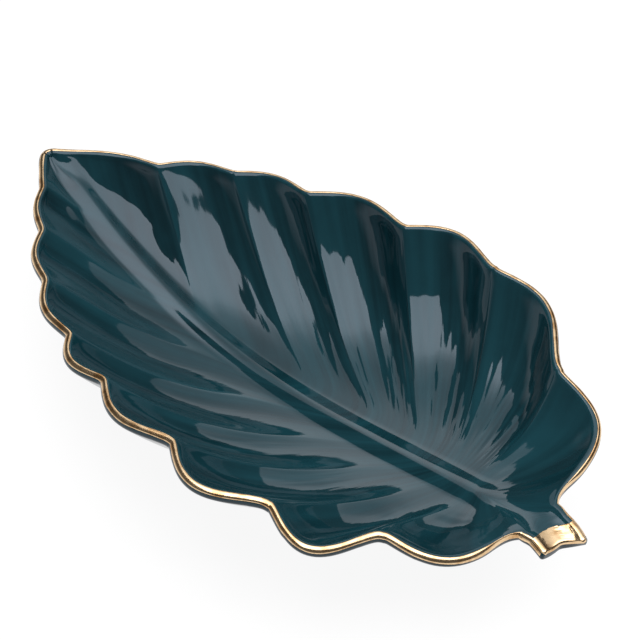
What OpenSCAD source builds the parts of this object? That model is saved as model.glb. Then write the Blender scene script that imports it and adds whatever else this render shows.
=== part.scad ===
// Leaf shaped serving plate: a glazed ceramic dish in the form of a broad leaf, with a raised midrib,
// flutes that fan out to a scalloped lip, a short stem, gold lustre on the lip and the stem end,
// and an unglazed foot ring. The tip points to -X, the stem to +X, and the foot stands on Z = 0.
// The origin lies under the middle of the plan.

/* [Blade] */
// Length of the blade from the stem root to the tip
blade_l = 283; // [200:1:380]
// Width of the blade across its notches, measured at full share
blade_w = 156; // [110:1:210]
// Depth of the hollow below the stem root, at its deepest station
hollow_d = 35; // [20:0.5:48]
// Rise of the side rims above the stem root
side_rise = 11; // [0:0.5:20]
// Rise of the tip above the stem root
tip_rise = 6; // [0:0.5:15]
// Thickness of the wall and of the rounded lip
wall = 4.5; // [3:0.1:6]

/* [Midrib and flutes] */
// Height of the raised midrib
rib_h = 2.2; // [1:0.1:4]
// Width of the raised midrib at the stem end, measured where its flanks run out
rib_w = 20; // [10:0.5:26]
// Length over which the midrib dies out before the stem root
rib_fade_l = 22; // [10:1:40]
// Depth of the flutes at full share
flute_d = 1.2; // [0:0.1:2]

/* [Stem] */
// Length of the stem beyond its root
stem_l = 14.5; // [8:0.5:30]
// Width of the stem at its root
stem_root_w = 16; // [10:0.5:20]
// Width of the stem at its waist
stem_waist_w = 13.5; // [8:0.5:18]
// Width of the stem at its end, measured square to the blade
stem_end_w = 11; // [8:0.5:20]
// Sideways bend of the stem at its end
stem_bend = 3; // [0:0.5:6]
// Extra length of the back corner of the stem end, which the front corner lacks
end_skew = 3.4; // [0:0.1:5]
// Drop of the stem end below its root
stem_drop = 0.7; // [0:0.1:4]
// Depth of the channel along the top of the stem
channel_d = 1.2; // [0.5:0.1:3]
// Extra depth of the floor just inside the root, and the length over which it falls there
root_dip = 3; // [0:0.5:6]
root_dip_l = 32; // [20:1:50]
// Depth of the hollow cut into the end edge of the stem
end_cut = 3; // [0:0.5:6]

/* [Gold lustre] */
// Thickness of the gold on the lip and on the stem end
gold_t = 0.25; // [0.1:0.05:0.6]

/* [Foot] */
// Length of the foot ring
foot_l = 100; // [80:1:130]
// Width of the foot ring
foot_w = 50; // [36:1:64]
// Thickness of the foot ring
foot_wall = 4; // [2:0.5:7]
// Clear height under the deepest point of the dish
foot_h = 2.5; // [1.5:0.1:6]
// Seam between the foot ring and the dish
foot_seam = 0.1; // [0.05:0.05:0.3]

/* [Hidden] */

// Notches of the front side (-Y) from the stem to the tip. Each row holds the station along the blade,
// the share of the half width, the station where the vein of the notch leaves the midrib, and the bulge
// of the lobe that ends at the notch as a share of its chord. The last lobe ends at the tip.
front_shares = [
    [0.11, 0.6, 0.105, 0.215],
    [0.23, 0.88, 0.16, 0.35],
    [0.39, 0.96, 0.23, 0.225],
    [0.545, 0.92, 0.32, 0.16],
    [0.655, 0.825, 0.45, 0.185],
    [0.775, 0.65, 0.57, 0.125],
    [0.868, 0.42, 0.71, 0.115],
    [0.96, 0.13, 0.88, 0.1]
];
front_tip_bulge_share = 0.08;
// Notches of the back side (+Y), which has two lobes fewer
back_shares = [
    [0.145, 0.71, 0.125, 0.225],
    [0.33, 0.98, 0.155, 0.175],
    [0.485, 0.9, 0.2, 0.19],
    [0.655, 0.765, 0.26, 0.155],
    [0.775, 0.62, 0.385, 0.135],
    [0.868, 0.355, 0.65, 0.13]
];
back_tip_bulge_share = 0.07;
// Place of a lobe's fullest point along its chord, from the stem side: for lobes by the stem and by the tip
stem_peak_share = 0.585;
tip_peak_share = 0.51;
// Place of a flute's deepest line between two veins, from the stem side: front flutes by the stem and by
// the tip, and back flutes
stem_valley_share = 0.4;
tip_valley_share = 0.53;
back_valley_share = 0.25;
// Depth of the flutes over the way from the midrib to the lip: front flutes by the stem and by the tip, and
// back flutes, which deepen towards the tip by a gain
stem_flute_shares = [[0.1, 0], [0.2, 0.06], [0.35, 0.6], [0.55, 1], [0.75, 0.3], [0.9, 0.2], [1, 0]];
tip_flute_shares = [[0.1, 0], [0.2, 0.06], [0.35, 0.65], [0.55, 0.65], [0.75, 0.65], [0.9, 0.6], [1, 0]];
back_flute_shares = [[0.35, 0], [0.55, 0.15], [0.75, 0.8], [0.9, 0.6], [1, 0]];
back_tip_gain = 2.1;
// Stations between which the flutes change from the stem's to the tip's
flute_change_shares = [0.25, 0.85];
// Part of the flutes that shows on the underside, and where it starts outside the foot
under_flute_share = 0.6;
under_start_shares = [0.45, 0.65];
// Bow of the veins along the blade, front and back, and the ends of the blade where it dies out
front_bow_share = 0.0085;
back_bow_share = -0.014;
bow_fade_share = 0.12;
// Rounding of the notches, as a share of the lobe's height
notch_round_share = 0.16;
// Station where the veins nearest to the stem leave the midrib
vein_root_share = 0.085;
// Power of the cross profile from midrib to lip: a flat floor and walls that curve up, rounder at the front
front_power = 2.6;
back_power = 3.5;
front_round_share = 0.13;
round_power = 1.5;
// Deepest station of the hollow, and how sharply the floor rises from it to both ends
deep_share = 0.595;
deep_power = 0.86;
// Station where the side rims are highest, how sharply they fall, and how late the tip turns up
high_share = 0.35;
high_power = 2.2;
tip_power = 6;
// Steepest wall that the slope may reach
steepest = 1.7;
// Blend of the lip's direction from the even outline (0) to the lobed outline (1)
lip_follow_share = 0.45;
// Station past which the lip turns round to face along the blade
tip_turn_share = 0.95;
// Midrib width at the tip, as a share of the width at the stem
rib_tip_share = 0.7;
// Midrib height by the stem, as a share of the full height by the tip
rib_low_share = 0.55;
// Most of a row that the midrib may take up
rib_reach_share = 0.45;
// Part of a row, next to the axis, where it bends over to meet the row of the other side
merge_share = 0.3;
// Waist of the stem, and start of the gold on it, along the stem
waist_share = 0.4;
gold_start_share = 0.375;
// How soon the veins run straight across the stem, and part of the stem where they bend into an arc
stem_sweep = 6;
arc_share = 0.5;
// Angles round the lip, from the inner face over the crest to the outer face, and those that bound the gold
lip_angles = [0, 30, 57, 85, 115, 150, 180];
gold_from = 1;
gold_to = 3;
// Centre of the foot along the blade
foot_share = 0.53;

// Facets: length of a step along the blade, rows of the stem, columns of the rib, inner wall and underside
row_share = 0.0128;
stem_rows = 8;
rib_cols = 3;
wall_cols = 9;
under_cols = 7;
foot_sides = 48;
seek_steps = 24;

half_w = blade_w / 2;
floor_z = foot_h + wall;
root_z = floor_z + hollow_d;
foot_x = blade_l * foot_share;
front = -1;
back = 1;

// Small helpers
function lerp(a, b, u) = a + (b - a) * u;
function unit(v) = v / norm(v);
function clamp01(u) = min(1, max(0, u));
function ease(u) = let (c = clamp01(u)) c * c * (3 - 2 * c);
function flat(lists) = [for (list = lists) each list];
// A hump that is 0 at both ends of 0..1 and 1 at the peak share
function hump(u, peak, power) = pow(max(0, sin(180 * pow(clamp01(u), ln(0.5) / ln(peak)))), power);
// Sorted list without repeats
function sorted(list) = len(list) < 2 ? list : let (
        p = list[0],
        low = [for (v = list) if (v < p) v],
        high = [for (v = list) if (v > p) v]
    ) concat(sorted(low), [p], sorted(high));

// Notches of one side with the stem root and the tip: station, half width, vein station and bulge
function notches(shares, tip_bulge) = concat(
    [[0, stem_root_w / 2, vein_root_share, 0]],
    [for (s = shares) [s[0], s[1] * half_w, s[2], s[3]]],
    [[1, 0, 1, tip_bulge]]);
front_notches = notches(front_shares, front_tip_bulge_share);
back_notches = notches(back_shares, back_tip_bulge_share);
function side_notches(side) = side == front ? front_notches : back_notches;

// Rounded arch between two notches: 0 at the notches, 1 at the peak share
arch_base = sqrt(1 + notch_round_share ^ 2) - notch_round_share;
function arch(u, peak) = let (s = sin(180 * pow(u, ln(0.5) / ln(peak))))
    (sqrt(s * s + notch_round_share ^ 2) - notch_round_share) / arch_base;

// Lobe that holds a station: its two notches and the share of the way between them
function lobe_at(list, t) = max([for (i = [0:len(list) - 2]) if (list[i][0] <= t || i == 0) i]);
function lobe(side, t) = let (
        list = side_notches(side),
        i = lobe_at(list, t),
        a = list[i],
        b = list[i + 1]
    ) [a, b, clamp01((t - a[0]) / (b[0] - a[0]))];
function chord(c) = [(c[1][0] - c[0][0]) * blade_l, c[1][1] - c[0][1]];

// Outline of one side, seen from above, as distance from the root and distance from the axis.
// Stations below zero run along the stem.
function stem_half(q) = q < waist_share
    ? lerp(stem_root_w, stem_waist_w, ease(q / waist_share)) / 2
    : lerp(stem_waist_w, stem_end_w, pow((q - waist_share) / (1 - waist_share), 2)) / 2;
function blade_rim(side, t) = let (
        c = lobe(side, t),
        d = chord(c),
        peak = lerp(stem_peak_share, tip_peak_share, (c[0][0] + c[1][0]) / 2),
        bulge = c[1][3] * arch(c[2], peak)
    ) [c[0][0] * blade_l, c[0][1]] + d * c[2] + [-d[1], d[0]] * bulge;
function stem_rim(side, q) = [-(stem_l + side * end_skew * q) * q, stem_half(q) - side * stem_bend * q * q];
function rim(side, t) = t < 0 ? stem_rim(side, -t) : blade_rim(side, t);

// Point of the axis where the vein to a station of the rim starts
function vein_x(side, t) = t < 0
    ? vein_root_share * blade_l * pow(1 + t, stem_sweep) - (end_cut - stem_l) * t
    : let (c = lobe(side, t)) lerp(c[0][2], c[1][2], c[2]) * blade_l;
function axis_y(side, t) = t < 0 ? -side * stem_bend * t * t : 0;
function axis(side, t) = [vein_x(side, t), axis_y(side, t)];

// Heights of the rim and of the floor along the axis
function rim_z(t) = t < 0
    ? root_z - stem_drop * t * t
    : root_z + tip_rise * pow(t, tip_power) + side_rise * hump(t, high_share, high_power);
function dip(x, u) = (channel_d + root_dip * ease(x / root_dip_l)) * (1 - u);
function keel_z(x) = let (u = clamp01(x / blade_l), q = clamp01(-x / stem_l))
    root_z - stem_drop * q * q - dip(x, u) + tip_rise * pow(u, tip_power)
    - (hollow_d - dip(blade_l, deep_share)) * hump(u, deep_share, deep_power);

// Outward direction of the lip seen from above: between the even and the lobed outline, turned at the tip
function even_out(side, t) = let (d = chord(lobe(side, t))) unit([-d[1], d[0]]);
function lobed_out(side, t) = let (
        d = rim(side, min(1, t + row_share / 4)) - rim(side, t - row_share / 4)
    ) unit([-d[1], d[0]]);
function lip_out(side, t) = t < 0 ? [0, 1] : let (
        even = unit(even_out(side, t - row_share * 2) + even_out(side, min(1, t + row_share * 2))),
        both = unit(lerp(even, lobed_out(side, t), lip_follow_share)),
        root = unit(lerp([0, 1], both, ease(t / row_share / 4)))
    ) unit(lerp(root, [1, 0], ease((t - tip_turn_share) / (1 - tip_turn_share))));

// A row holds one side at one station: axis point, rim point, outward direction, station, side, the way
// along the axis to the point where both sides meet, and the bow of the vein
function meet_gap(side, t) = (vein_x(-side, t) - vein_x(side, t)) / 2;
function bow(side, t) = blade_l * (side == front ? front_bow_share : back_bow_share)
    * ease(t / bow_fade_share) * ease((1 - t) / bow_fade_share);
function row(side, t) = [
    axis(side, t), rim(side, t), lip_out(side, t), t, side, meet_gap(side, t), bow(side, t)];
function row_point(w, r) = let (arc = lerp(r, r * r, clamp01(-w[3] / arc_share))) [
    lerp(w[0][0], w[1][0], arc) + w[5] * pow(max(0, 1 - r / merge_share), 2) + w[6] * 4 * r * r * (1 - r),
    lerp(w[0][1], w[1][1], r)];
function valley(w) = w[4] == front ? lerp(stem_valley_share, tip_valley_share, w[3]) : back_valley_share;
function row_arch(w) = w[3] < 0 ? 0 : arch(lobe(w[4], w[3])[2], valley(w));

// Cross profile of a side: its height, and how fast that rises, at a share r of the way from axis to rim
function round_share(side) = side == front ? front_round_share : 0;
function bowl_power(side) = side == front ? front_power : back_power;
function profile(side, r) = lerp(pow(r, bowl_power(side)), pow(r, round_power), round_share(side));
function profile_rate(side, r) = let (p = bowl_power(side))
    lerp(p * pow(r, p - 1), round_power * pow(r, round_power - 1), round_share(side));

// Slope of the wall and direction into the wall, at a share r of the way from axis to rim
function rise(w, r) = rim_z(w[3]) - keel_z(row_point(w, r)[0]);
function slope(w, r) = let (run = (norm(w[1] - w[0]) + abs(w[1][1] - w[0][1])) / 2)
    min(steepest, max(0, rise(w, r)) * profile_rate(w[4], r) / run);
function inward(w, r) = let (a = atan(slope(w, r))) [w[2][0] * sin(a), w[2][1] * sin(a), -cos(a)];

// Midrib: a round ridge that narrows to the tip and dies out at the root
function rib_half(x) = rib_w / 2 * lerp(1, rib_tip_share, clamp01(x / blade_l));
function rib(x, y) = rib_h * lerp(rib_low_share, 1, ease(x / blade_l))
    * ease(x / rib_fade_l) * ease((blade_l - x) / rib_fade_l)
    * (1 + cos(180 * clamp01(abs(y) / rib_half(x)))) / 2;

// Depth of a flute at a share r of the way from axis to rim, and the part of it that shows on the underside
function between(v, ends) = clamp01((v - ends[0]) / (ends[1] - ends[0]));
function flute_share(w, r) = let (late = between(w[3], flute_change_shares)) w[4] == front
    ? lerp(lookup(r, stem_flute_shares), lookup(r, tip_flute_shares), late)
    : lookup(r, back_flute_shares) * lerp(1, back_tip_gain, late);
function flute(w, r) = flute_d * row_arch(w) * flute_share(w, r);
function under_flute(w, r) = under_flute_share * flute(w, r) * ease(between(r, under_start_shares));

// Inner face without rib and flutes, the finished inner face, and the underside
function bowl(w, r) = let (
        p = row_point(w, r),
        base = keel_z(p[0])
    ) [p[0], p[1], base + (rim_z(w[3]) - base) * profile(w[4], r)];
function inner(w, r) = let (
        p = bowl(w, r),
        axis_gap = abs(p[1] - axis_y(w[4], w[3]))
    ) p + [0, 0, rib(p[0], axis_gap) - flute(w, r)];
function under(w, r) = bowl(w, r) + wall * inward(w, r) - [0, 0, under_flute(w, r)];

// Lip: a half round from the inner face to the outer face
function lip_dir(w, a) = let (
        n = inward(w, 1),
        d = [-n[2] * w[2][0], -n[2] * w[2][1], norm([n[0], n[1]])]
    ) d * sin(a) - n * cos(a);
function lip(w, a) = bowl(w, 1) + wall / 2 * (inward(w, 1) + lip_dir(w, a));

// Shares of the columns: the rib first, then the wall
function rib_reach(w) = min(rib_reach_share, rib_half(w[0][0]) / max(abs(w[1][1] - w[0][1]), wall));
function inner_shares(w) = let (reach = rib_reach(w)) concat(
        [for (j = [0:rib_cols]) reach * j / rib_cols],
        [for (j = [1:wall_cols]) lerp(reach, 1, j / wall_cols)]);
under_shares = [for (j = [0:under_cols]) j / under_cols];

function inner_points(w) = [for (r = inner_shares(w)) place(w[4], inner(w, r))];
function under_points(w) = [for (r = under_shares) place(w[4], under(w, r))];
function lip_points(w) = [for (k = [1:len(lip_angles) - 2]) place(w[4], lip(w, lip_angles[k]))];
function reversed(list) = [for (i = [len(list) - 1:-1:0]) list[i]];
function rest(list) = [for (i = [1:len(list) - 1]) list[i]];

// Stations of all rows: the stem from its end, then the blade between notches of either side
breaks = sorted(concat([for (n = front_notches) n[0]], [for (n = back_notches) n[0]]));
function steps(a, b) = max(2, round((b - a) / row_share));
blade_stations = [for (i = [0:len(breaks) - 2]) let (n = steps(breaks[i], breaks[i + 1]))
    for (k = [0:n - 1]) lerp(breaks[i], breaks[i + 1], k / n)];
stations = concat([for (i = [0:stem_rows - 1]) i / stem_rows - 1], blade_stations, [1]);
front_rows = [for (t = stations) row(front, t)];
back_rows = [for (t = stations) row(back, t)];
last = len(stations) - 1;

// From leaf coordinates of one side to the part's frame, whose origin is halfway between the lip's ends
lip_plan = [for (w = concat(front_rows, back_rows), a = lip_angles) let (p = lip(w, a))
    [-p[0], w[4] * p[1]]];
function middle(k) = let (ends = [for (p = lip_plan) p[k]]) (min(ends) + max(ends)) / 2;
mid_x = middle(0);
mid_y = middle(1);
function place(side, p) = [-p[0] - mid_x, side * p[1] - mid_y, p[2]];

// One ring of the dish: front lip to back lip over the inner face, then back along the underside
function ring(i) = let (f = front_rows[i], b = back_rows[i]) concat(
        reversed(inner_points(f)), rest(inner_points(b)),
        lip_points(b),
        reversed(under_points(b)), rest(under_points(f)),
        reversed(lip_points(f)));
inner_n = rib_cols + wall_cols;
lip_n = len(lip_angles) - 2;
top_n = 2 * inner_n + 1;
under_n = 2 * under_cols + 1;
ring_n = top_n + under_n + 2 * lip_n;

// At the tip the ring closes: the inner face and the underside end in points, and both lips in one arc
function tip_column(k) = k < top_n ? 0
    : k < top_n + lip_n ? k
    : k < top_n + lip_n + under_n ? top_n + lip_n
    : top_n + ring_n - 1 - k;
function dish_index(i, k) = let (c = k % ring_n) i * ring_n + (i == last ? tip_column(c) : c);
function facet(a, b, c) = a == b || b == c || c == a ? [] : [[a, b, c]];
function quad(a, b, c, d) = concat(facet(a, b, c), facet(a, c, d));

module leaf_dish() {
    rings = flat([for (i = [0:last]) ring(i)]);
    hub = (inner(front_rows[0], 0) + under(front_rows[0], 0)) / 2;
    sides = flat([for (i = [0:last - 1], k = [0:ring_n - 1]) quad(
        dish_index(i, k), dish_index(i + 1, k), dish_index(i + 1, k + 1), dish_index(i, k + 1))]);
    stem_end = [for (k = [0:ring_n - 1]) [len(rings), dish_index(0, k), dish_index(0, k + 1)]];
    color("#12343b") polyhedron(concat(rings, [place(front, hub)]), concat(sides, stem_end));
}

// A skin of gold over columns of the dish: the dish's own facets below, the same facets raised above
function raised(w, a) = place(w[4], lip(w, a) + gold_t * lip_dir(w, a));
function seated(w, a) = place(w[4], lip(w, a));
gold_angles = [for (k = [gold_from:gold_to]) lip_angles[k]];
function gold_section(w) = concat(
        [for (a = gold_angles) seated(w, a)],
        [for (a = reversed(gold_angles)) raised(w, a)]);

// Closed tube through sections of equal length, with flat ends
module tube(sections) {
    n = len(sections[0]);
    m = len(sections) - 1;
    walls = flat([for (i = [0:m - 1], k = [0:n - 1]) let (j = (k + 1) % n)
        quad(i * n + k, i * n + j, (i + 1) * n + j, (i + 1) * n + k)]);
    start = [for (k = [1:n - 2]) [0, k + 1, k]];
    end = [for (k = [1:n - 2]) [m * n, m * n + k, m * n + k + 1]];
    polyhedron(flat(sections), concat(walls, start, end));
}

module gold_rim() {
    color("#d9a860") tube(concat(
        [for (w = back_rows) gold_section(w)],
        [for (i = [last - 1:-1:0]) gold_section(front_rows[i])]));
}

// Gold on the stem end: the top of the stem between the two gold lines of the lip
gold_stem_rows = [for (i = [0:stem_rows]) if (stations[i] <= -gold_start_share) i];
function stem_skin(i, lift) = let (f = front_rows[i], b = back_rows[i], edge = gold_angles[0]) concat(
        [place(front, lip(f, edge) + lift * lip_dir(f, edge))],
        reversed([for (r = inner_shares(f)) place(front, inner(f, r) - lift * inward(f, r))]),
        rest([for (r = inner_shares(b)) place(back, inner(b, r) - lift * inward(b, r))]),
        [place(back, lip(b, edge) + lift * lip_dir(b, edge))]);

module gold_stem_tip() {
    color("#d9a860") tube([for (i = gold_stem_rows)
        concat(stem_skin(i, 0), reversed(stem_skin(i, gold_t)))]);
}

// Underside at a point of the plan: the row through that point is found by halving
function row_miss(side, t, x, y) = let (w = row(side, t)) row_point(w, y / w[1][1])[0] - x;
function seek(side, x, y, low, high, n) = let (mid = (low + high) / 2)
    n == 0 ? mid
    : row_miss(side, mid, x, y) < 0 ? seek(side, x, y, mid, high, n - 1)
    : seek(side, x, y, low, mid, n - 1);
function seat_z(side, x, y) = let (
        w = row(side, seek(side, x, y, 0, 1 - row_share, seek_steps)),
        r = y / w[1][1],
        s = slope(w, r)
    ) bowl(w, r)[2] - wall * sqrt(1 + s * s) - foot_seam;
function foot_point(angle, inset, on_table) = let (
        x = (foot_l / 2 - inset) * cos(angle),
        y = (foot_w / 2 - inset) * sin(angle),
        side = y < 0 ? front : back,
        p = [foot_x - x, abs(y)]
    ) place(side, [p[0], p[1], on_table ? 0 : seat_z(side, p[0], p[1])]);

module foot_ring() {
    corners = [[0, true], [0, false], [foot_wall, false], [foot_wall, true]];
    n = len(corners);
    points = [for (i = [0:foot_sides - 1], c = corners) foot_point(360 * i / foot_sides, c[0], c[1])];
    faces = flat([for (i = [0:foot_sides - 1], k = [0:n - 1]) let (
            a = i * n,
            b = (i + 1) % foot_sides * n,
            j = (k + 1) % n
        ) quad(a + k, a + j, b + j, b + k)]);
    color("#e6ded0") polyhedron(points, faces);
}

leaf_dish();
gold_rim();
gold_stem_tip();
foot_ring();
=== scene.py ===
import math
import bmesh
import bpy
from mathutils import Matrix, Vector, noise


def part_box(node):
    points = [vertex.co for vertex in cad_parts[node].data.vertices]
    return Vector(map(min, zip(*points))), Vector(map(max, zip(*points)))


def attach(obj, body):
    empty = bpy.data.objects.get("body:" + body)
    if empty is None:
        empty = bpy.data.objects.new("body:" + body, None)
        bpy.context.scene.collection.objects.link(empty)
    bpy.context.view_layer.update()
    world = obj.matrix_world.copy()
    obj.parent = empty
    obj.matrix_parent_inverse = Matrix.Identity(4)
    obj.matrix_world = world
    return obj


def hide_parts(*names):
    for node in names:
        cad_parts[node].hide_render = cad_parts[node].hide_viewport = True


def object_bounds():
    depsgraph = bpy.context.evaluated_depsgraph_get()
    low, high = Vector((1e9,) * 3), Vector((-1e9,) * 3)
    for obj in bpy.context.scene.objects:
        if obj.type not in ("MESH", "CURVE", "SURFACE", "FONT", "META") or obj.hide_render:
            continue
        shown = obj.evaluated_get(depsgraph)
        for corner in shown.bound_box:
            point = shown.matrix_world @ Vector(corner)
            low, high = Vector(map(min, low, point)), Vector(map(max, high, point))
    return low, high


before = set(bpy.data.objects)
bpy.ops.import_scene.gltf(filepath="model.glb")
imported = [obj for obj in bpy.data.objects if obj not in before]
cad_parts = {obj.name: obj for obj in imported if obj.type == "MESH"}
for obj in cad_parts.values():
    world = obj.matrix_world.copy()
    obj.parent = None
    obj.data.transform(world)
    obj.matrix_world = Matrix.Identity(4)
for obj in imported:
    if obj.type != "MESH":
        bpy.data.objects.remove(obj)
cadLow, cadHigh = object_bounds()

mm = 0.001
front, back = -1, 1  # the near side with nine lobes and the far side with seven, as signs of Y
smooth = {"interpolation_type": "SMOOTHSTEP"}


# Helpers
def tint(text):  # sRGB hex to the linear colour that a node takes
    parts = [int(text[i:i + 2], 16) / 255 for i in (1, 3, 5)]
    return [part / 12.92 if part <= 0.04045 else ((part + 0.055) / 1.055) ** 2.4 for part in parts] + [1]


# A kind in capitals is an operation of the Math node, and points are those of a curve node
def addNode(tree, kind, inputs=(), points=(), **settings):
    node = tree.nodes.new("ShaderNodeMath" if kind.isupper() else kind)
    if kind.isupper():
        node.operation = kind
    for name, value in settings.items():
        setattr(node, name, value)
    for key, value in inputs.items() if isinstance(inputs, dict) else enumerate(inputs):
        if isinstance(value, bpy.types.Node):
            value = value.outputs[0]
        if isinstance(value, bpy.types.NodeSocket):
            tree.links.new(value, node.inputs[key])
        else:
            node.inputs[key].default_value = value
    if points:
        bends = node.mapping.curves[0].points
        bends[0].location, bends[-1].location = points[0], points[-1]
        for x, y in points[1:-1]:
            bends.new(x, y)
        node.mapping.update()
    return node


def lerp(start, end, share):
    return start + (end - start) * share


def ease(share):
    held = min(1, max(0, share))
    return held * held * (3 - 2 * held)


def unit(x, y):
    size = math.hypot(x, y)
    return x / size, y / size


def skewPower(share):  # power that moves the middle of a curve to a share of its length
    return math.log(0.5) / math.log(share)


def addObject(name, data):
    obj = bpy.data.objects.new(name, data)
    bpy.context.scene.collection.objects.link(obj)
    return obj


def keep(obj, bodySlot, *nodes):  # parents a finished piece to the root body and hides the CAD nodes that it stands in for
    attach(obj, "root")
    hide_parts(*nodes)
    print("piece", obj.name, len(obj.data.polygons), "faces")


def newMaterial(name):
    material = bpy.data.materials.new(name)
    material.use_nodes = True
    return material, material.node_tree, material.node_tree.nodes["Principled BSDF"]


# Materials: sockets 6 and 7 of a Mix node are its two colours
def makeGlaze():  # deep teal glass over clay: mirror sharp, a little thinner and lighter on the crests
    look = {
        "deep": "#0b282f", "thin": "#173f48", "sheen": "#e3f0ff", "roughness": 0.05, "ior": 1.5,
        "mottleSize": 9 * mm, "mottleShare": 0.4, "poolShare": 0.5,
        "streakSize": 1.6 * mm, "streakLength": 22 * mm, "streakHeight": 0.02 * mm, "sideStep": 5,
        "broadTimes": 3, "broadShare": 1.6, "calmEnd": 10 * mm, "fullStart": 26 * mm,
    }
    material, tree, shader = newMaterial("tealGlaze")
    place = addNode(tree, "ShaderNodeTexCoord").outputs["Object"]
    pool = addNode(tree, "ShaderNodeAttribute", attribute_name="pool").outputs["Fac"]
    vein = addNode(tree, "ShaderNodeAttribute", attribute_name="vein").outputs["Vector"]
    mottle = addNode(tree, "ShaderNodeTexNoise", {
        "Vector": place, "Scale": 1 / look["mottleSize"], "Detail": 4})
    streaks = []
    for times in (1, look["broadTimes"]):  # fine ones for the relief, broad ones for the colour
        scale = (1 / look["streakSize"] / times, 1 / look["streakLength"] / times, look["sideStep"])
        combed = addNode(tree, "ShaderNodeMapping", {"Vector": vein, "Scale": scale})
        streaks.append(addNode(tree, "ShaderNodeTexNoise", {"Vector": combed, "Scale": 1, "Detail": 2}))
    fine, broad = streaks
    pooled = addNode(tree, "MULTIPLY", [pool, look["poolShare"]])
    depth = addNode(tree, "MULTIPLY_ADD", [mottle, look["mottleShare"], pooled])
    brushed = addNode(tree, "MULTIPLY_ADD", [broad, look["broadShare"], -look["broadShare"] / 2])
    depth = addNode(tree, "ADD", [depth, brushed], use_clamp=True)
    colour = addNode(tree, "ShaderNodeMix", {
        "Factor": depth, 6: tint(look["thin"]), 7: tint(look["deep"])}, data_type="RGBA")
    way = addNode(tree, "ShaderNodeSeparateXYZ", [vein]).outputs["Y"]
    calm = addNode(tree, "ShaderNodeMapRange", [way, look["calmEnd"], look["fullStart"]])  # smooth midrib
    bump = addNode(tree, "ShaderNodeBump", {
        "Height": fine, "Distance": look["streakHeight"], "Strength": calm})
    tree.links.new(colour.outputs[2], shader.inputs["Base Color"])
    tree.links.new(bump.outputs[0], shader.inputs["Normal"])
    shader.inputs["Roughness"].default_value = look["roughness"]
    shader.inputs["IOR"].default_value = look["ior"]
    shader.inputs["Specular Tint"].default_value = tint(look["sheen"])  # cool reflections
    return material


def makeGold():  # brushed on fired gold: bright, warm, slightly streaky, with thinner browner places
    look = {
        "full": "#edcda3", "thin": "#b98d5c", "patchSize": 5 * mm, "patchEdge": (0.3, 0.55),
        "grainSize": 0.6 * mm, "grainHeight": 0.01 * mm, "grainShare": 0.5,  # coarser than real, to show
        "roughLow": 0.12, "roughRange": 0.16,
    }
    material, tree, shader = newMaterial("goldLustre")
    place = addNode(tree, "ShaderNodeTexCoord").outputs["Object"]
    patch, grain = [
        addNode(tree, "ShaderNodeTexNoise", {"Vector": place, "Scale": 1 / size, "Detail": detail})
        for size, detail in ((look["patchSize"], 3), (look["grainSize"], 2))]
    thick = addNode(tree, "ShaderNodeMapRange", [patch, *look["patchEdge"]])
    colour = addNode(tree, "ShaderNodeMix", {
        "Factor": thick, 6: tint(look["thin"]), 7: tint(look["full"])}, data_type="RGBA")
    rough = addNode(tree, "MULTIPLY_ADD", [grain, look["roughRange"], look["roughLow"]])
    bump = addNode(tree, "ShaderNodeBump", {
        "Height": grain, "Distance": look["grainHeight"], "Strength": look["grainShare"]})
    tree.links.new(colour.outputs[2], shader.inputs["Base Color"])
    tree.links.new(rough.outputs[0], shader.inputs["Roughness"])
    tree.links.new(bump.outputs[0], shader.inputs["Normal"])
    shader.inputs["Metallic"].default_value = 1
    return material


def makeBody():  # bare fired clay on the foot: matt, off white, fine grain with rare dark specks
    look = {
        "clay": "#e4dccd", "speck": "#a89a84", "roughness": 0.85,
        "grainSize": 0.5 * mm, "grainHeight": 0.06 * mm, "grainShare": 0.6,
        "speckSize": 1.6 * mm, "speckEdge": (0.08, 0.16), "speckShare": 0.7,
    }
    material, tree, shader = newMaterial("bareStoneware")
    place = addNode(tree, "ShaderNodeTexCoord").outputs["Object"]
    grain = addNode(tree, "ShaderNodeTexNoise", {
        "Vector": place, "Scale": 1 / look["grainSize"], "Detail": 3})
    speck = addNode(tree, "ShaderNodeTexVoronoi", {"Vector": place, "Scale": 1 / look["speckSize"]})
    dark = addNode(tree, "ShaderNodeMapRange", [speck, *look["speckEdge"], look["speckShare"], 0])
    colour = addNode(tree, "ShaderNodeMix", {
        "Factor": dark, 6: tint(look["clay"]), 7: tint(look["speck"])}, data_type="RGBA")
    bump = addNode(tree, "ShaderNodeBump", {
        "Height": grain, "Distance": look["grainHeight"], "Strength": look["grainShare"]})
    tree.links.new(colour.outputs[2], shader.inputs["Base Color"])
    tree.links.new(bump.outputs[0], shader.inputs["Normal"])
    shader.inputs["Roughness"].default_value = look["roughness"]
    return material


glaze, gold, body = makeGlaze(), makeGold(), makeBody()
print("materials made")

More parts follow.
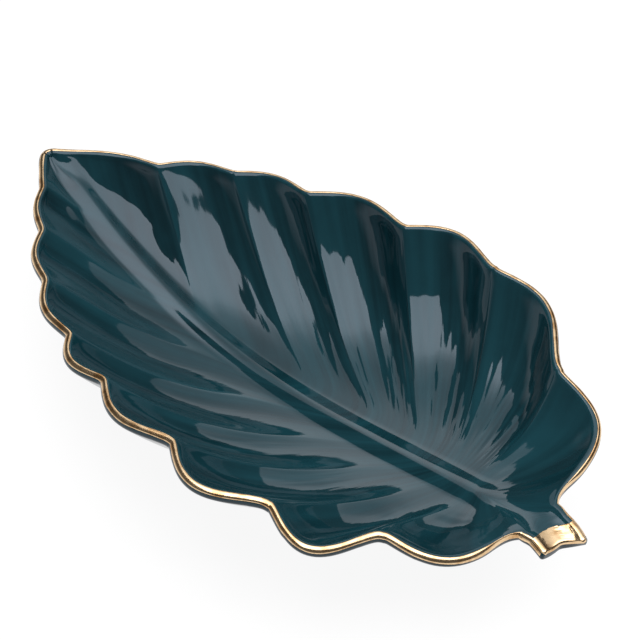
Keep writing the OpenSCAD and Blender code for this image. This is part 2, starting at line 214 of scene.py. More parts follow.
# Leaf outline, seen from above, in mm: x from the stem root to the tip, y from the midrib to the lip.
# A station t is a share of the blade's length, from -1 to 0 on the stem.
leaf = {
    "length": 283, "halfWidth": 77.9, "wall": 4.5,
    "rootHeight": 42, "sideRise": 11, "highShare": 0.35, "highPower": 2.2, "tipRise": 6, "tipPower": 6,
    "stemLength": 14.5, "stemRoot": 16, "stemWaist": 13.5, "stemEnd": 11, "waistShare": 0.4,
    "stemBend": 3, "stemDrop": 0.7, "stemSweep": 6, "arcShare": 0.5,
    "endSkew": 3.4, "endCut": 3, "endRound": 1.2, "endSteps": 6,
    "notchRound": 0.16, "stemPeak": 0.585, "tipPeak": 0.51,  # form of the lobes
    "lipFollow": 0.45, "lipStep": 0.0032, "evenSteps": 8, "rootSteps": 16,  # way that the lip faces
    "tipTurn": (0.95, 0.985), "tipParts": 3, "tipRound": 1.6, "tipBend": 2.5, "bendShare": 0.1,
    "veinRoot": 0.085, "bows": {front: 7, back: -4}, "bowFade": 0.12,
    "crests": {front: 0.06, back: 0.14},  # roundness of the crests between the flutes
    # place of a flute's floor in its lobe, at the stem and at the tip
    "valleys": {front: (0.6, 0.55), back: (0.2, 0.18)},
    "lipValleys": {front: (0.68, 0.76), back: (0.2, 0.18)},
    "ribHalf": 10, "ribReach": 0.45,
    # notches: station, share of the half width, station of the vein's foot, bulge of the lobe before it
    "notches": {
        front: [(0.11, 0.6, 0.105, 0.215), (0.23, 0.88, 0.16, 0.35), (0.39, 0.96, 0.23, 0.225),
                (0.545, 0.92, 0.32, 0.16), (0.655, 0.825, 0.45, 0.185), (0.775, 0.65, 0.57, 0.125),
                (0.868, 0.42, 0.71, 0.115), (0.945, 0.19, 0.88, 0.1), (1, 0, 1, 0.02)],
        back: [(0.145, 0.71, 0.125, 0.225), (0.33, 0.98, 0.155, 0.175), (0.485, 0.9, 0.2, 0.19),
               (0.655, 0.765, 0.26, 0.155), (0.775, 0.62, 0.385, 0.135), (0.868, 0.355, 0.65, 0.13),
               (1, 0, 1, 0.09)]},
    "rows": 420, "rowShift": 0.1, "tipRows": 4, "tipStep": 0.0012, "tipShrink": 4, "stemRows": 16,
    "ribColumns": 12, "wallColumns": 40, "underColumns": 18, "lipColumns": 10,
}
for side in (front, back):
    root = (0, leaf["stemRoot"] / 2 / leaf["halfWidth"], leaf["veinRoot"], 0)
    leaf["notches"][side].insert(0, root)


def archAt(share, peak, roundness=leaf["notchRound"]):  # rounded arch: 0 at both notches, 1 at its peak
    wave = math.sin(math.pi * share ** skewPower(peak))
    return (math.hypot(wave, roundness) - roundness) / (math.hypot(1, roundness) - roundness)


def lobeAt(side, t):  # notches before and after a station, and the way between them
    marks = leaf["notches"][side]
    i = max([0] + [k for k in range(len(marks) - 1) if marks[k][0] <= t])
    before, after = marks[i], marks[i + 1]
    return before, after, min(1, max(0, (t - before[0]) / (after[0] - before[0])))


def chordAt(side, t):  # straight way from notch to notch
    before, after, _ = lobeAt(side, t)
    return (after[0] - before[0]) * leaf["length"], (after[1] - before[1]) * leaf["halfWidth"]


def stemHalf(way):  # half width of the stem, the way from 0 at its root to 1 at its end
    waist = leaf["waistShare"]
    if way < waist:
        return lerp(leaf["stemRoot"], leaf["stemWaist"], ease(way / waist)) / 2
    return lerp(leaf["stemWaist"], leaf["stemEnd"], ((way - waist) / (1 - waist)) ** 2) / 2


def tipAside(x):  # the tip bends to the near side
    return leaf["tipBend"] * ease((x / leaf["length"] - 1) / leaf["bendShare"] + 1)


def rimAt(side, t):  # the lip's inner edge on the plan
    if t < 0:
        way = -t
        x = -(leaf["stemLength"] + side * leaf["endSkew"] * way) * way
        return x, stemHalf(way) - side * leaf["stemBend"] * way * way
    before, after, share = lobeAt(side, t)
    dx, dy = chordAt(side, t)
    bulge = after[3] * archAt(share, lerp(leaf["stemPeak"], leaf["tipPeak"], (before[0] + after[0]) / 2))
    x = before[0] * leaf["length"] + dx * share - dy * bulge
    y = before[1] * leaf["halfWidth"] + dy * share + dx * bulge
    left, tip = max(0, leaf["length"] - x), leaf["tipRound"]
    y = math.sqrt(y * y + 2 * tip * left * math.exp(-left / tip / 2))  # blunt tip
    return x, y - side * tipAside(x)


def rimHeight(t):
    if t < 0:
        return leaf["rootHeight"] - leaf["stemDrop"] * t * t
    hump = max(0, math.sin(math.pi * t ** skewPower(leaf["highShare"]))) ** leaf["highPower"]
    return leaf["rootHeight"] + leaf["tipRise"] * t ** leaf["tipPower"] + leaf["sideRise"] * hump


def veinFoot(side, t):  # where the vein to a station of the lip leaves the midrib
    if t < 0:
        return (leaf["veinRoot"] * leaf["length"] * (1 + t) ** leaf["stemSweep"]
                + (leaf["stemLength"] - leaf["endCut"]) * t)
    before, after, share = lobeAt(side, t)
    return lerp(before[2], after[2], share) * leaf["length"]


def facing(ahead, behind):  # outward direction of the outline between two of its points
    return unit(behind[1] - ahead[1], ahead[0] - behind[0])


def between(first, second, share):  # direction on the way from one direction to another
    return unit(*(lerp(p, q, share) for p, q in zip(first, second)))


def lipOut(side, t):  # outward direction of the lip, between the even and the lobed outline
    if t < 0:
        return 0, 1
    if t == 1:
        return 1, 0
    step = leaf["lipStep"]
    places = [max(0, min(1, t + d * step * leaf["evenSteps"])) for d in (-1, 1)]
    chords = [unit(*chordAt(side, p)) for p in places]
    even = unit(-sum(c[1] for c in chords), sum(c[0] for c in chords))
    lobed = facing(rimAt(side, min(1, t + step)), rimAt(side, max(0, t - step)))
    both = between(even, lobed, leaf["lipFollow"])
    root = between((0, 1), both, ease(t / step / leaf["rootSteps"]))
    part = (1 - t) / leaf["tipParts"]
    own = facing(rimAt(side, t + part), rimAt(side, t - part))
    first, last = leaf["tipTurn"]
    return between(root, own, ease((t - first) / (last - first)))


def rowAt(side, t):  # one row from the midrib to the lip
    x, y = rimAt(side, t)
    foot = veinFoot(side, t)
    footY = -side * leaf["stemBend"] * t * t if t < 0 else 0
    _, _, share = lobeAt(side, max(0, t))
    valleys = [lerp(*leaf[key][side], t) for key in ("valleys", "lipValleys")]
    return {
        "side": side, "t": t, "rim": (x, y, rimHeight(t)), "foot": foot, "footY": footY,
        "out": lipOut(side, t),
        "run": (math.hypot(x - foot, y - footY) + abs(y - footY)) / 2,
        "arc": min(1, max(0, -t / leaf["arcShare"])),
        "bow": leaf["bows"][side] * ease(t / leaf["bowFade"]) * ease((1 - t) / leaf["bowFade"]),
        "arches": [0 if t < 0 else archAt(share, valley, leaf["crests"][side]) for valley in valleys],
    }


def stationsOf(side):  # rows close up towards the crests, and every notch gets a row of its own
    marks = [mark[0] for mark in leaf["notches"][side]]
    counts = [round(leaf["rows"] * mark) for mark in marks]
    found = []
    for before, after, i, j in zip(marks, marks[1:], counts, counts[1:]):
        for k in range(j - i):
            share = k / (j - i)
            found.append(lerp(before, after, share - leaf["rowShift"] * math.sin(2 * math.pi * share)))
    return found + [1 - leaf["tipStep"] / leaf["tipShrink"] ** k for k in range(leaf["tipRows"])] + [1]


stemEnd = 1 - leaf["endRound"] / (leaf["stemLength"] + leaf["endSkew"])
stemStations = [-stemEnd * (1 - k / leaf["stemRows"]) for k in range(leaf["stemRows"])]
rows = {side: [rowAt(side, t) for t in stemStations + stationsOf(side)] for side in (front, back)}
for side in (front, back):
    for row, other in zip(rows[side], rows[-side]):
        row["meet"] = (other["foot"] - row["foot"]) / 2
        row["footY"] -= side * tipAside(row["foot"] + row["meet"])
print("outline set", len(rows[front]), "rows a side")

# Rule of the surface: inputs of the node tree, lengths in metres
rule = {
    "Blade length": leaf["length"] * mm, "Stem length": leaf["stemLength"] * mm, "Wall": leaf["wall"] * mm,
    "Root X": (cadHigh.x / mm - leaf["stemLength"] - leaf["endSkew"]) * mm,
    "Axis Y": sum(p.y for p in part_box("foot_ring")) / 2,
    "Root height": leaf["rootHeight"] * mm, "Stem drop": leaf["stemDrop"] * mm,
    "Tip rise": leaf["tipRise"] * mm, "Tip power": leaf["tipPower"],
    "Hollow depth": 35 * mm, "Deep share": 0.595, "Deep power": 0.86,
    "Channel depth": 1.2 * mm, "Root dip": 4 * mm, "Root dip start": -8 * mm, "Root dip end": 32 * mm,
    "Front power": 2.6, "Back power": 3.5, "Front round": 0.13, "Tip round": 0.35, "Round power": 1.5,
    "Steepest": 1.7, "Tip slope": 1.65, "Merge share": 0.3, "Bow gain": 4,
    "Rib height": 3.4 * mm, "Rib low share": 0.36, "Rib start": 14 * mm, "Rib fade": 16 * mm,
    "Rib half width": leaf["ribHalf"] * mm, "Rib tip share": 0.72,
    "Rib near share": 0.74, "Rib near tip share": 1.05,
    "Front flutes": 2 * mm, "Back flutes": 3 * mm, "Under flutes": 0.6,
    "Ripple": 1.4 * mm, "Ripple spacing": 9 * mm, "Ripple length": 45 * mm, "Ripple seed": 9,
    "Near ripple share": 0.3, "Inner turn": 0.001, "Weld": 0.01 * mm,
}
spans = {  # shares of the blade, or of the way to the lip, over which a change comes in
    "tipRound": (0.6, 0.92), "tipSlope": (0.95, 1), "ribTall": (0.4, 0.9), "tipFlutes": (0.25, 0.85),
    "backFlutes": (0.05, 0.2), "lipArch": (0.45, 0.85), "underFlutes": (0.45, 0.65),
    "rippleStart": (0.15, 0.5), "rippleEnd": (1, 0.9),
}
fluteCurves = {  # depth share over the way from the midrib to the lip
    "frontStem": [(0, 0), (0.1, 0), (0.2, 0.03), (0.35, 0.3),
                  (0.55, 0.85), (0.75, 0.9), (0.9, 0.6), (1, 0)],
    "frontTip": [(0, 0), (0.1, 0.03), (0.2, 0.14), (0.35, 0.4),
                 (0.55, 0.6), (0.75, 0.8), (0.9, 0.7), (1, 0)],
    "backStem": [(0, 0), (0.2, 0), (0.35, 0.1), (0.55, 0.5), (0.75, 1), (0.9, 0.2), (1, 0)],
    "backTip": [(0, 0), (0.2, 0.01), (0.35, 0.08), (0.55, 0.18), (0.75, 0.7), (0.9, 0.85), (1, 0)],
}
packedNames = ("rim", "foot", "out", "share", "lobe", "sweep")  # what every point brings along


def makeRule():
    tree = bpy.data.node_groups.new("leafRule", "GeometryNodeTree")
    tree.interface.new_socket("Geometry", in_out="INPUT", socket_type="NodeSocketGeometry")
    for name, value in rule.items():
        socket = tree.interface.new_socket(name, in_out="INPUT", socket_type="NodeSocketFloat")
        socket.default_value = value
    tree.interface.new_socket("Material", in_out="INPUT", socket_type="NodeSocketMaterial")
    tree.interface.new_socket("Geometry", in_out="OUTPUT", socket_type="NodeSocketGeometry")
    given = addNode(tree, "NodeGroupInput").outputs

    def op(kind, *inputs, **settings):
        return addNode(tree, kind, inputs, **settings).outputs[0]

    parts = {}
    for name in packedNames:
        found = addNode(tree, "GeometryNodeInputNamedAttribute", {"Name": name}, data_type="FLOAT_VECTOR")
        parts[name] = addNode(tree, "ShaderNodeSeparateXYZ", [found]).outputs
    rimX, rimY, rimZ = parts["rim"]
    footX, footY, meet = parts["foot"]
    outX, outY, run = parts["out"]
    toLip, turn, lift = parts["share"]
    floorArch, side, station = parts["lobe"]
    bow, arc, lipArch = parts["sweep"]

    # place on the plan
    merge = op("POWER", op("MAXIMUM", 0, op("SUBTRACT", 1, op("DIVIDE", toLip, given["Merge share"]))), 2)
    bent = op("MULTIPLY", toLip, op("MULTIPLY_ADD", arc, op("SUBTRACT", toLip, 1), 1))
    swept = op("MULTIPLY", toLip, op("MULTIPLY", toLip, given["Bow gain"]))
    swept = op("MULTIPLY", swept, op("SUBTRACT", 1, toLip))
    x = op("MULTIPLY_ADD", meet, merge, op("MULTIPLY_ADD", bent, op("SUBTRACT", rimX, footX), footX))
    x = op("MULTIPLY_ADD", bow, swept, x)
    y = op("MULTIPLY_ADD", toLip, op("SUBTRACT", rimY, footY), footY)

    # height of the floor along the midrib
    toTip = op("DIVIDE", x, given["Blade length"], use_clamp=True)
    toEnd = op("DIVIDE", op("MULTIPLY", x, -1), given["Stem length"], use_clamp=True)
    bend = op("DIVIDE", math.log(0.5), op("LOGARITHM", given["Deep share"], math.e))
    wave = op("MAXIMUM", 0, op("SINE", op("MULTIPLY", math.pi, op("POWER", toTip, bend))))
    rootDepth = op("ADD", given["Channel depth"], given["Root dip"])
    fall = op("ShaderNodeMapRange", x, given["Root dip start"], given["Root dip end"],
              given["Channel depth"], rootDepth, **smooth)
    lost = op("MULTIPLY", rootDepth, op("SUBTRACT", 1, given["Deep share"]))
    hollow = op("SUBTRACT", given["Hollow depth"], lost)
    drop = op("MULTIPLY", given["Stem drop"], op("MULTIPLY", toEnd, toEnd))
    keel = op("SUBTRACT", given["Root height"], drop)
    keel = op("SUBTRACT", keel, op("MULTIPLY", fall, op("SUBTRACT", 1, toTip)))
    keel = op("MULTIPLY_ADD", given["Tip rise"], op("POWER", toTip, given["Tip power"]), keel)
    keel = op("SUBTRACT", keel, op("MULTIPLY", hollow, op("POWER", wave, given["Deep power"])))

    # wall from the floor to the lip, and its slope
    atBack = op("GREATER_THAN", side, 0)
    atFront = op("SUBTRACT", 1, atBack)
    morePower = op("SUBTRACT", given["Back power"], given["Front power"])
    power = op("MULTIPLY_ADD", atBack, morePower, given["Front power"])
    roundShare = op("ShaderNodeMapRange", toTip, *spans["tipRound"],
                    given["Front round"], given["Tip round"], **smooth)
    roundShare = op("MULTIPLY", roundShare, atFront)
    flatShare = op("SUBTRACT", 1, roundShare)
    shape = op("ADD", op("MULTIPLY", flatShare, op("POWER", toLip, power)),
               op("MULTIPLY", roundShare, op("POWER", toLip, given["Round power"])))
    flatSteep = op("MULTIPLY", op("MULTIPLY", flatShare, power),
                   op("POWER", toLip, op("SUBTRACT", power, 1)))
    roundSteep = op("MULTIPLY", op("MULTIPLY", roundShare, given["Round power"]),
                    op("POWER", toLip, op("SUBTRACT", given["Round power"], 1)))
    steep = op("ADD", flatSteep, roundSteep)
    rise = op("SUBTRACT", rimZ, keel)
    bowl = op("MULTIPLY_ADD", rise, shape, keel)
    nose = op("ShaderNodeMapRange", station, *spans["tipSlope"], 0, given["Tip slope"], **smooth)
    grade = op("MAXIMUM", nose, op("DIVIDE", op("MULTIPLY", op("MAXIMUM", rise, 0), steep), run))
    slope = op("ARCTANGENT", op("MINIMUM", given["Steepest"], grade))

    # midrib
    half = op("MULTIPLY", given["Rib half width"],
              op("MULTIPLY_ADD", toTip, op("SUBTRACT", given["Rib tip share"], 1), 1))
    near = op("MULTIPLY_ADD", toTip, op("SUBTRACT", given["Rib near tip share"], given["Rib near share"]),
              given["Rib near share"])
    half = op("MULTIPLY", half, op("MULTIPLY_ADD", atFront, op("SUBTRACT", near, 1), 1))
    across = op("DIVIDE", op("ABSOLUTE", op("SUBTRACT", y, footY)), half, use_clamp=True)
    ridge = op("MULTIPLY_ADD", op("COSINE", op("MULTIPLY", across, math.pi)), 0.5, 0.5)
    ends = [op("ShaderNodeMapRange", way, 0, given["Rib fade"], **smooth)
            for way in (op("SUBTRACT", x, given["Rib start"]), op("SUBTRACT", given["Blade length"], x))]
    tall = op("ShaderNodeMapRange", toTip, *spans["ribTall"], given["Rib low share"], **smooth)
    rib = op("MULTIPLY", given["Rib height"], op("MULTIPLY", tall, ridge))
    rib = op("MULTIPLY", rib, op("MULTIPLY", *ends))

    # flutes, whose floors move along the lobe on the way to the lip
    curves = {name: addNode(tree, "ShaderNodeFloatCurve", {"Value": toLip}, points).outputs[0]
              for name, points in fluteCurves.items()}
    late = op("ShaderNodeMapRange", station, *spans["tipFlutes"])
    nearDepth, farDepth = [
        op("MULTIPLY", given[name + " flutes"], op("MULTIPLY_ADD", late, op("SUBTRACT", tip, stem), stem))
        for name, stem, tip in (("Front", curves["frontStem"], curves["frontTip"]),
                                ("Back", curves["backStem"], curves["backTip"]))]
    farDepth = op("MULTIPLY", farDepth, op("ShaderNodeMapRange", station, *spans["backFlutes"], **smooth))
    outward = op("ShaderNodeMapRange", toLip, *spans["lipArch"], **smooth)
    arch = op("MULTIPLY_ADD", outward, op("SUBTRACT", lipArch, floorArch), floorArch)
    depth = op("MULTIPLY", arch, op("MULTIPLY_ADD", atBack, op("SUBTRACT", farDepth, nearDepth), nearDepth))

    # ripples along the veins
    byLip, byVein = op("MULTIPLY", station, given["Blade length"]), op("MULTIPLY", toLip, run)
    place = op("ShaderNodeCombineXYZ", op("DIVIDE", byLip, given["Ripple spacing"]),
               op("DIVIDE", byVein, given["Ripple length"]), op("MULTIPLY", side, given["Ripple seed"]))
    streaks = addNode(tree, "ShaderNodeTexNoise", {"Vector": place, "Scale": 1, "Detail": 2})
    fades = [op("ShaderNodeMapRange", toLip, *spans[key], **smooth) for key in ("rippleStart", "rippleEnd")]
    nearShare = given["Near ripple share"]
    share = op("MULTIPLY_ADD", atBack, op("SUBTRACT", 1, nearShare), nearShare)
    ripple = op("MULTIPLY", op("MULTIPLY", op("SUBTRACT", streaks, 0.5), given["Ripple"]),
                op("MULTIPLY", share, op("MULTIPLY", *fades)))

    # relief: all of it on the inner face, a share of the flutes on the underside
    inner = op("LESS_THAN", turn, given["Inner turn"])
    start = op("ShaderNodeMapRange", toLip, *spans["underFlutes"], **smooth)
    under = op("MULTIPLY", op("SUBTRACT", 1, inner), op("MULTIPLY", given["Under flutes"], start))
    raised = op("MULTIPLY", inner, op("ADD", rib, ripple))
    relief = op("SUBTRACT", raised, op("MULTIPLY", depth, op("ADD", inner, under)))

    # round the lip: turn 0 is the inner face, pi the underside
    thick = op("MULTIPLY", given["Wall"], 0.5)
    reach = op("ADD", thick, lift)
    lean = op("SUBTRACT", turn, slope)
    aside = op("MULTIPLY_ADD", reach, op("SINE", lean), op("MULTIPLY", thick, op("SINE", slope)))
    upward = op("MULTIPLY", reach, op("COSINE", lean))
    upward = op("SUBTRACT", upward, op("MULTIPLY", thick, op("COSINE", slope)))
    finalX = op("SUBTRACT", given["Root X"], op("MULTIPLY_ADD", outX, aside, x))
    finalY = op("MULTIPLY_ADD", side, op("MULTIPLY_ADD", outY, aside, y), given["Axis Y"])
    finalZ = op("ADD", op("ADD", bowl, relief), upward)

    # result, with what the glaze needs: where it pools, and the place along the lip and the vein
    moved = addNode(tree, "GeometryNodeSetPosition", {
        "Geometry": given["Geometry"], "Position": op("ShaderNodeCombineXYZ", finalX, finalY, finalZ)})
    pooled = addNode(tree, "GeometryNodeStoreNamedAttribute", {
        "Geometry": moved, "Name": "pool", "Value": op("MULTIPLY", inner, arch)},
        data_type="FLOAT", domain="POINT")
    veined = addNode(tree, "GeometryNodeStoreNamedAttribute", {
        "Geometry": pooled, "Name": "vein", "Value": op("ShaderNodeCombineXYZ", byLip, byVein, side)},
        data_type="FLOAT_VECTOR", domain="POINT")
    welded = addNode(tree, "GeometryNodeMergeByDistance", {"Geometry": veined, "Distance": given["Weld"]})
    shaded = addNode(tree, "GeometryNodeSetShadeSmooth", {"Geometry": welded})
    real = addNode(tree, "GeometryNodeRealizeInstances", [shaded])
    done = addNode(tree, "GeometryNodeSetMaterial", {"Geometry": real, "Material": given["Material"]})
    addNode(tree, "NodeGroupOutput", [done])
    return tree


leafRule = makeRule()
print("rule made", len(leafRule.nodes), "nodes")


def applyTree(obj, tree, values):  # runs a node tree on an object and keeps its result as a plain mesh
    modifier = obj.modifiers.new("rule", "NODES")
    modifier.node_group = tree
    for item in tree.interface.items_tree:
        if item.in_out == "INPUT" and item.name in values:
            modifier[item.identifier] = values[item.name]
    graph = bpy.context.evaluated_depsgraph_get()
    mesh = bpy.data.meshes.new_from_object(obj.evaluated_get(graph), depsgraph=graph)
    obj.modifiers.clear()
    raw = obj.data
    obj.data = mesh
    bpy.data.meshes.remove(raw)
    for name in packedNames:
        if name in mesh.attributes:
            mesh.attributes.remove(mesh.attributes[name])
    hair = 1e-4 * mm  # shorter edges are dropped
    shell = bmesh.new()
    shell.from_mesh(mesh)
    bmesh.ops.dissolve_degenerate(shell, dist=hair, edges=shell.edges)
    bmesh.ops.recalc_face_normals(shell, faces=shell.faces)
    shell.to_mesh(mesh)
    shell.free()
    return obj


# A skin over rings of (row, shift along the axis, share of the way to the lip, turn round the lip, lift)
def tube(name, rings, material):
    count = len(rings[0])
    faces = []
    for i in range(len(rings) - 1):
        here, there = i * count, (i + 1) * count
        for k in range(count):
            after = (k + 1) % count
            faces.append((here + k, here + after, there + after, there + k))
    mesh = bpy.data.meshes.new(name)
    mesh.from_pydata([(i, k, 0) for i in range(len(rings)) for k in range(count)], [], faces)
    points = [p for ring in rings for p in ring]
    packed = {
        "rim": [((row["rim"][0] + shift) * mm, row["rim"][1] * mm, row["rim"][2] * mm)
                for row, shift, *_ in points],
        "foot": [((row["foot"] + shift) * mm, row["footY"] * mm, row["meet"] * mm)
                 for row, shift, *_ in points],
        "out": [(*row["out"], row["run"] * mm) for row, *_ in points],
        "share": [(share, turn, lift * mm) for _, _, share, turn, lift in points],
        "lobe": [(row["arches"][0], row["side"], row["t"]) for row, *_ in points],
        "sweep": [(row["bow"] * mm, row["arc"], row["arches"][1]) for row, *_ in points],
    }
    for key in packedNames:
        layer = mesh.attributes.new(key, "FLOAT_VECTOR", "POINT")
        layer.data.foreach_set("vector", [c for v in packed[key] for c in v])
    return applyTree(addObject(name, mesh), leafRule, {"Material": material})


def innerShares(row):  # columns of one side on the inner face, closer on the midrib
    reach = min(leaf["ribReach"], leaf["ribHalf"] / max(abs(row["rim"][1] - row["footY"]), leaf["wall"]))
    ribColumns, wallColumns = leaf["ribColumns"], leaf["wallColumns"]
    rib = [reach * k / ribColumns for k in range(ribColumns)]
    return rib + [lerp(reach, 1, k / wallColumns) for k in range(wallColumns + 1)]


def leafRing(i, shift=0, lift=0):  # over the inner face, the far lip, the underside and the near lip
    near, far = rows[front][i], rows[back][i]
    turns = [math.pi * k / leaf["lipColumns"] for k in range(1, leaf["lipColumns"])]
    under = [k / leaf["underColumns"] for k in range(leaf["underColumns"] + 1)]
    loop = [(near, share, 0) for share in reversed(innerShares(near))]
    loop += [(far, share, 0) for share in innerShares(far)[1:]]
    loop += [(far, 1, turn) for turn in turns]
    loop += [(far, share, math.pi) for share in reversed(under)]
    loop += [(near, share, math.pi) for share in under[1:]]
    loop += [(near, 1, turn) for turn in reversed(turns)]
    return [(row, shift, share, turn, lift) for row, share, turn in loop]


def endSteps(radius):  # shift and lift of the rounded edge of the stem end, from the flat end inwards
    angles = [math.pi / 2 * (1 - k / leaf["endSteps"]) for k in range(leaf["endSteps"])]
    return [(-radius * math.sin(angle), -leaf["endRound"] + radius * math.cos(angle)) for angle in angles]


endFlat = (-leaf["endRound"], -leaf["wall"] / 2)
leafRings = [leafRing(0, *step) for step in [endFlat] + endSteps(leaf["endRound"])]
leafRings += [leafRing(i) for i in range(len(rows[front]))]
leafGlaze = tube("leafGlaze", leafRings, glaze)
keep(leafGlaze, "glaze", "leaf_dish")

# Gold line along the lip, painted by hand so that its edges wander a little: edges in degrees round the lip
line = {
    "from": {front: 32, back: 50}, "to": 104, "meet": 0.9, "columns": 8,
    "wander": 7, "waves": 38, "sideSeed": 7, "toSeed": 5,
    "thick": 0.12, "edgeShare": 0.4, "seat": -0.04,
}


def lineRing(row):
    place = Vector((row["side"] * line["sideSeed"], row["t"] * line["waves"], 0))
    both = sum(line["from"].values()) / 2
    low = lerp(line["from"][row["side"]], both, ease((row["t"] - line["meet"]) / (1 - line["meet"])))
    low += line["wander"] * noise.noise(place)
    high = line["to"] + line["wander"] * noise.noise(place + Vector((0, 0, line["toSeed"])))
    columns = line["columns"]
    turns = [math.radians(lerp(low, high, k / columns)) for k in range(columns + 1)]
    shares = [1 if 0 < k < columns else line["edgeShare"] for k in range(columns + 1)]
    over = [(row, 0, 1, turn, line["thick"] * share) for turn, share in zip(turns, shares)]
    return over + [(row, 0, 1, turn, line["seat"]) for turn in reversed(turns)]


lineRings = [lineRing(row) for row in rows[back] + rows[front][-2::-1]]
goldLine = tube("goldLine", lineRings, gold)
keep(goldLine, "gold_lustre", "gold_rim")

# Gold over the top of the stem end, dipped, with an uneven start
dip = {
    "start": 0.375, "skew": 0.18, "wander": 0.03, "waves": 3, "seed": 2,
    "thick": 0.14, "seat": -0.05, "rows": 14, "edge": 60, "columns": 5,
}


def dipRing(way, shift, lift, seatShift, seat):
    near, far = rows[front][0], rows[back][0]
    turns = [math.radians(dip["edge"] * k / dip["columns"]) for k in range(dip["columns"], 0, -1)]
    loop = [(front, 1, turn) for turn in turns]
    loop += [(front, share, 0) for share in reversed(innerShares(near))]
    loop += [(back, share, 0) for share in innerShares(far)[1:]]
    loop += [(back, 1, turn) for turn in reversed(turns)]
    ring = []
    for side, share, turn in loop:
        uneven = noise.noise(Vector((side * share * dip["waves"], turn, dip["seed"])))
        start = dip["start"] + dip["skew"] * (1 + side * share) / 2 + dip["wander"] * uneven
        t = -lerp(stemEnd, start, way)
        row = rowAt(side, t)
        row["meet"] = (veinFoot(-side, t) - row["foot"]) / 2
        ring.append((row, share, turn))
    over = [(row, shift, share, turn, lift) for row, share, turn in ring]
    return over + [(row, seatShift, share, turn, seat) for row, share, turn in reversed(ring)]


outer, inside = endSteps(leaf["endRound"] + dip["thick"]), endSteps(leaf["endRound"] + dip["seat"])
dipRings = [dipRing(0, *a, *b) for a, b in zip(outer, inside)]
dipRings += [dipRing(k / dip["rows"], 0, dip["thick"], 0, dip["seat"]) for k in range(dip["rows"] + 1)]
goldStem = tube("goldStem", dipRings, gold)
keep(goldStem, "gold_lustre", "gold_stem_tip")

# Foot ring: an oval band of bare clay whose top follows the underside
band = {
    "wall": 4 * mm, "height": 8 * mm, "round": 1.1 * mm, "seam": 0.1 * mm, "sides": 160, "cornerSteps": 5,
    "below": 50 * mm,  # where the rays that find the underside start
}


def makeFoot():
    low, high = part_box("foot_ring")
    middle, size = (low + high) / 2, high - low
    half, corner, tall = band["wall"] / 2, band["round"], band["height"]
    across, top = half - corner, tall - corner
    corners = ((-across, corner, 180), (across, corner, 270), (across, top, 0), (-across, top, 90))
    profile = []
    for cx, cz, first in corners:
        for k in range(band["cornerSteps"] + 1):
            angle = math.radians(first + 90 * k / band["cornerSteps"])
            profile.append((cx + corner * math.cos(angle), cz + corner * math.sin(angle)))
    graph = bpy.context.evaluated_depsgraph_get()
    ring = bmesh.new()
    loops = []
    for i in range(band["sides"]):
        angle = 2 * math.pi * i / band["sides"]
        loop = []
        for inset, z in profile:
            x = middle.x + (size.x / 2 - half + inset) * math.cos(angle)
            y = middle.y + (size.y / 2 - half + inset) * math.sin(angle)
            if z > tall / 2:
                _, point, _, _ = leafGlaze.ray_cast((x, y, -band["below"]), (0, 0, 1), depsgraph=graph)
                z += point.z - band["seam"] - tall
            loop.append(ring.verts.new((x, y, z)))
        loops.append(loop)
    count = len(profile)
    for loop, after in zip(loops, loops[1:] + loops[:1]):
        for k in range(count):
            ring.faces.new((loop[k], loop[(k + 1) % count], after[(k + 1) % count], after[k]))
    bmesh.ops.recalc_face_normals(ring, faces=ring.faces)
    mesh = bpy.data.meshes.new("footRing")
    ring.to_mesh(mesh)
    ring.free()
    mesh.materials.append(body)
    mesh.shade_smooth()
    return addObject("footRing", mesh)


footRing = makeFoot()
keep(footRing, "bare_body", "foot_ring")

# Camera at the photograph's angle
shot = {
    "azimuth": 46.46, "elevation": 43, "target": Vector((-7, 27.5, 25)) * mm, "distance": 704.5 * mm,
    "lens": 95.6, "sensor": 36, "clipStart": 10 * mm,
}
azimuth, elevation = math.radians(shot["azimuth"]), math.radians(shot["elevation"])
toCamera = Vector((math.sin(azimuth) * math.cos(elevation), -math.cos(azimuth) * math.cos(elevation),
                   math.sin(elevation)))
right = Vector((math.cos(azimuth), math.sin(azimuth), 0))
ahead = Vector((-math.sin(azimuth), math.cos(azimuth), 0))
camera = addObject("camera", bpy.data.cameras.new("camera"))
camera.data.lens, camera.data.sensor_width = shot["lens"], shot["sensor"]
camera.data.clip_start = shot["clipStart"]
camera.location = shot["target"] + toCamera * shot["distance"]
camera.rotation_euler = (-toCamera).to_track_quat("-Z", "Y").to_euler()
bpy.context.scene.camera = camera
print("camera set")

# One long softbox overhead, brightest at its front end: height in metres, edges in degrees off the vertical
softbox = {
    "height": 1.5, "left": -21.5, "right": 47.7, "front": -27, "far": 72.5, "level": 3.7, "tilt": -0.3,
    "strips": [(0, 0.88), (0.38, 0.9), (0.5, 0.56), (0.6, 0.31),
               (0.74, 0.2), (0.86, 0.26), (0.94, 0.4), (1, 0.4)],
}


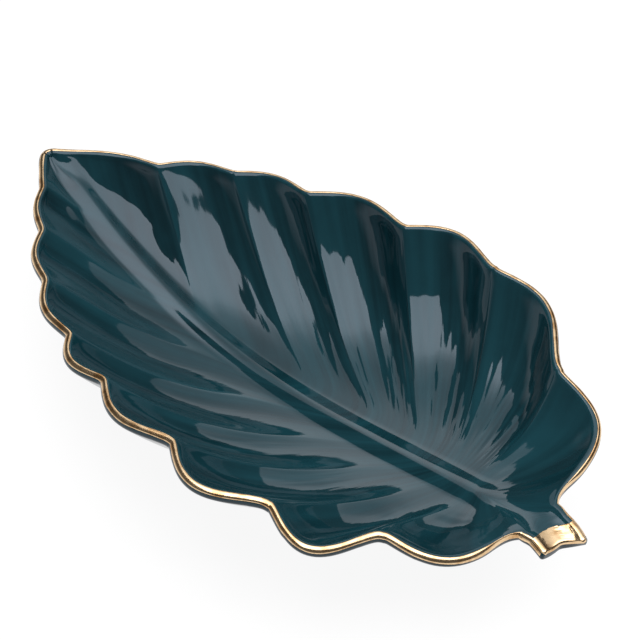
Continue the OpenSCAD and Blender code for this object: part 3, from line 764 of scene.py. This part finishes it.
def makeSoftbox():
    height = softbox["height"]
    edges = [math.radians(softbox[key]) for key in ("left", "right", "front", "far")]
    x0, x1, y0, y1 = (height * math.tan(edge) for edge in edges)
    light = bpy.data.lights.new("softbox", "AREA")
    light.shape, light.size, light.size_y = "RECTANGLE", x1 - x0, y1 - y0
    light.energy = math.pi * light.size * light.size_y * softbox["level"]
    light.use_nodes = True
    tree = light.node_tree
    spot = addNode(tree, "ShaderNodeNewGeometry").outputs["Parametric"]
    across, along, _ = addNode(tree, "ShaderNodeSeparateXYZ", [spot]).outputs
    wide = addNode(tree, "MULTIPLY_ADD", [across, (x1 - x0) / height, x0 / height])
    deep = addNode(tree, "MULTIPLY_ADD", [along, (y1 - y0) / height, y0 / height])
    wide, deep = [addNode(tree, "ARCTANGENT", [part]) for part in (wide, deep)]
    way = addNode(tree, "ShaderNodeMapRange", [deep, *edges[2:]])
    strips = addNode(tree, "ShaderNodeFloatCurve", {"Value": way}, softbox["strips"])
    glow = addNode(tree, "MULTIPLY", [strips, addNode(tree, "MULTIPLY_ADD", [wide, softbox["tilt"], 1])])
    tree.links.new(glow.outputs[0], tree.nodes["Emission"].inputs["Strength"])
    obj = addObject("softbox", light)
    obj.location = right * (x0 + x1) / 2 + ahead * (y0 + y1) / 2 + Vector((0, 0, height))
    obj.rotation_euler = (0, 0, azimuth)


makeSoftbox()

# A dim room, darker behind the leaf, with a pale wall low on the left
room = {
    "level": 0.1, "gloom": 0.06, "gloomSide": (0.2, 0.8),
    "wall": 0.6, "wallSide": (0.45, 0.7), "wallTop": (0.4, 0.15),
}


def makeRoom():
    world = bpy.data.worlds.new("room")
    world.use_nodes = True
    tree = world.node_tree
    look = addNode(tree, "ShaderNodeTexCoord").outputs["Generated"]
    behind, aside = [
        addNode(tree, "ShaderNodeVectorMath", [look, way], operation="DOT_PRODUCT").outputs["Value"]
        for way in (ahead, -right)]
    height = addNode(tree, "ShaderNodeSeparateXYZ", [look]).outputs["Z"]
    level = addNode(tree, "ShaderNodeMapRange", [behind, *room["gloomSide"], room["level"], room["gloom"]])
    wall = [addNode(tree, "ShaderNodeMapRange", [value, *room[key]])
            for value, key in ((aside, "wallSide"), (height, "wallTop"))]
    pale = addNode(tree, "MULTIPLY", [addNode(tree, "MULTIPLY", wall), room["wall"]])
    strength = addNode(tree, "ADD", [level, pale])
    shader = tree.nodes["Background"]
    shader.inputs["Color"].default_value = tint("#ffffff")
    tree.links.new(strength.outputs[0], shader.inputs["Strength"])
    bpy.context.scene.world = world


makeRoom()

# Floor: white paper that keeps the shadow
paper = {"half": 6, "colour": "#626262", "glow": 0.92}  # half width in metres


def makeFloor():
    material, tree, shader = newMaterial("whitePaper")
    rays = addNode(tree, "ShaderNodeLightPath").outputs
    mirrored = addNode(tree, "MAXIMUM", [rays["Is Glossy Ray"], rays["Is Transmission Ray"]])
    seen = addNode(tree, "MAXIMUM", [rays["Is Camera Ray"], mirrored])
    glow = addNode(tree, "MULTIPLY", [seen, paper["glow"]])
    shader.inputs["Base Color"].default_value = tint(paper["colour"])
    shader.inputs["Roughness"].default_value = 1
    shader.inputs["Specular IOR Level"].default_value = 0
    shader.inputs["Emission Color"].default_value = tint("#ffffff")
    tree.links.new(glow.outputs[0], shader.inputs["Emission Strength"])
    mesh = bpy.data.meshes.new("floor")
    half = paper["half"]
    corners = [(-half, -half, 0), (half, -half, 0), (half, half, 0), (-half, half, 0)]
    mesh.from_pydata(corners, [], [(0, 1, 2, 3)])
    mesh.materials.append(material)
    return addObject("floor", mesh)


makeFloor()
bpy.context.scene.view_settings.view_transform = "Standard"
print("stage set")
